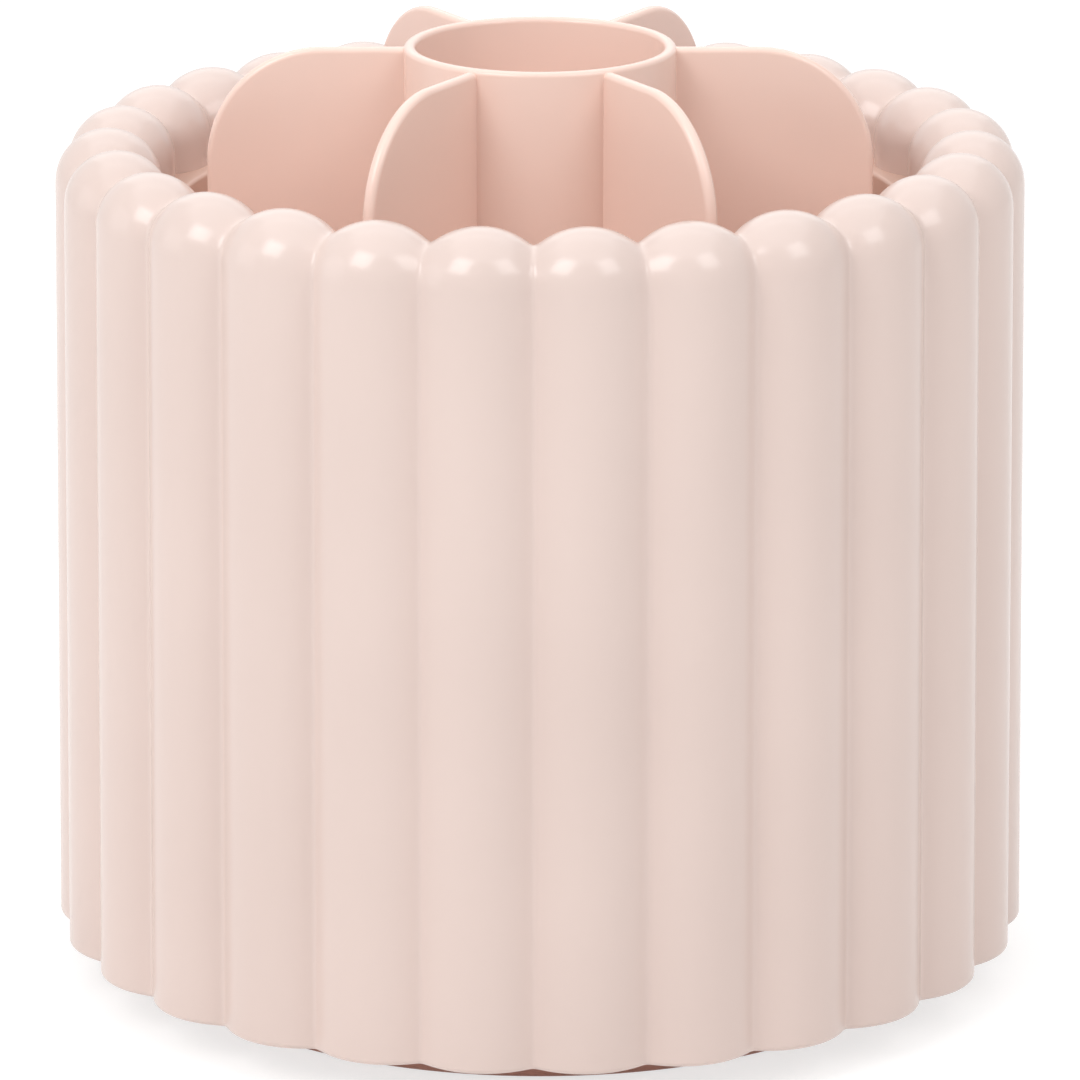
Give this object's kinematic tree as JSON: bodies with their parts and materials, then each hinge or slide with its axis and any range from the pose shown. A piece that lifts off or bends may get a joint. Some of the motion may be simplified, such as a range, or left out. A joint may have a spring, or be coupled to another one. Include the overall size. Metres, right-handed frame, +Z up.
{
  "type": "rotating makeup brush organizer",
  "caption": "Round fluted pot with domed flutes on a ball-bearing turntable foot, and a loose divider of a centre tube with straight fins standing in its smooth cup.",
  "frame": {"origin": "on the turning axis at table height, in the middle of the foot's pads", "axes": "+Z up along the turning axis, -Y towards the viewer of the picture"},
  "size_m": [0.1319, 0.1319, 0.1267],
  "materials": {
    "pot_plastic": "satin-gloss moulded plastic, pale blush",
    "cup_plastic": "smooth satin plastic, blush",
    "divider_plastic": "satin-gloss moulded plastic, blush",
    "foot_plastic": "satin plastic, brown-pink",
    "washer_plastic": "natural nylon",
    "cage_plastic": "natural nylon",
    "ball_steel": "polished bearing steel",
    "screw_steel": "zinc-plated steel",
    "pad_rubber": "soft rubber, dull"
  },
  "bodies": {
    "base": {"base_plate": "foot_plastic", "pivot_washer": "washer_plastic", "pivot_screw": "screw_steel", "foot_pad_1": "pad_rubber", "foot_pad_2": "pad_rubber", "foot_pad_3": "pad_rubber", "foot_pad_4": "pad_rubber", "foot_pad_5": "pad_rubber", "foot_pad_6": "pad_rubber"},
    "pot": {"outer_shell": "pot_plastic", "inner_cup": "cup_plastic", "turntable_plate": "pot_plastic", "cover_screws": "screw_steel"},
    "bearing": {"ball_cage": "cage_plastic", "ball_01": "ball_steel", "ball_02": "ball_steel", "ball_03": "ball_steel", "ball_04": "ball_steel", "ball_05": "ball_steel", "ball_06": "ball_steel", "ball_07": "ball_steel", "ball_08": "ball_steel", "ball_09": "ball_steel", "ball_10": "ball_steel", "ball_11": "ball_steel", "ball_12": "ball_steel", "ball_13": "ball_steel", "ball_14": "ball_steel", "ball_15": "ball_steel", "ball_16": "ball_steel"},
    "divider": {"divider": "divider_plastic"}
  },
  "joints": [
    {"name": "turntable_spin", "type": "hinge", "parent": "base", "child": "pot", "pos_m": [0, 0, 0.007], "axis": [0, 0, 1], "continuous": true},
    {"name": "cage_spin", "type": "hinge", "parent": "base", "child": "bearing", "pos_m": [0, 0, 0.0059], "axis": [0, 0, 1], "continuous": true},
    {"name": "divider_lift", "type": "slide", "parent": "pot", "child": "divider", "axis": [0, 0, 1], "range_m": [0, 0.12]}
  ],
  "couplings": [
    {"joint": "cage_spin", "follows": "turntable_spin", "ratio": 0.5}
  ]
}
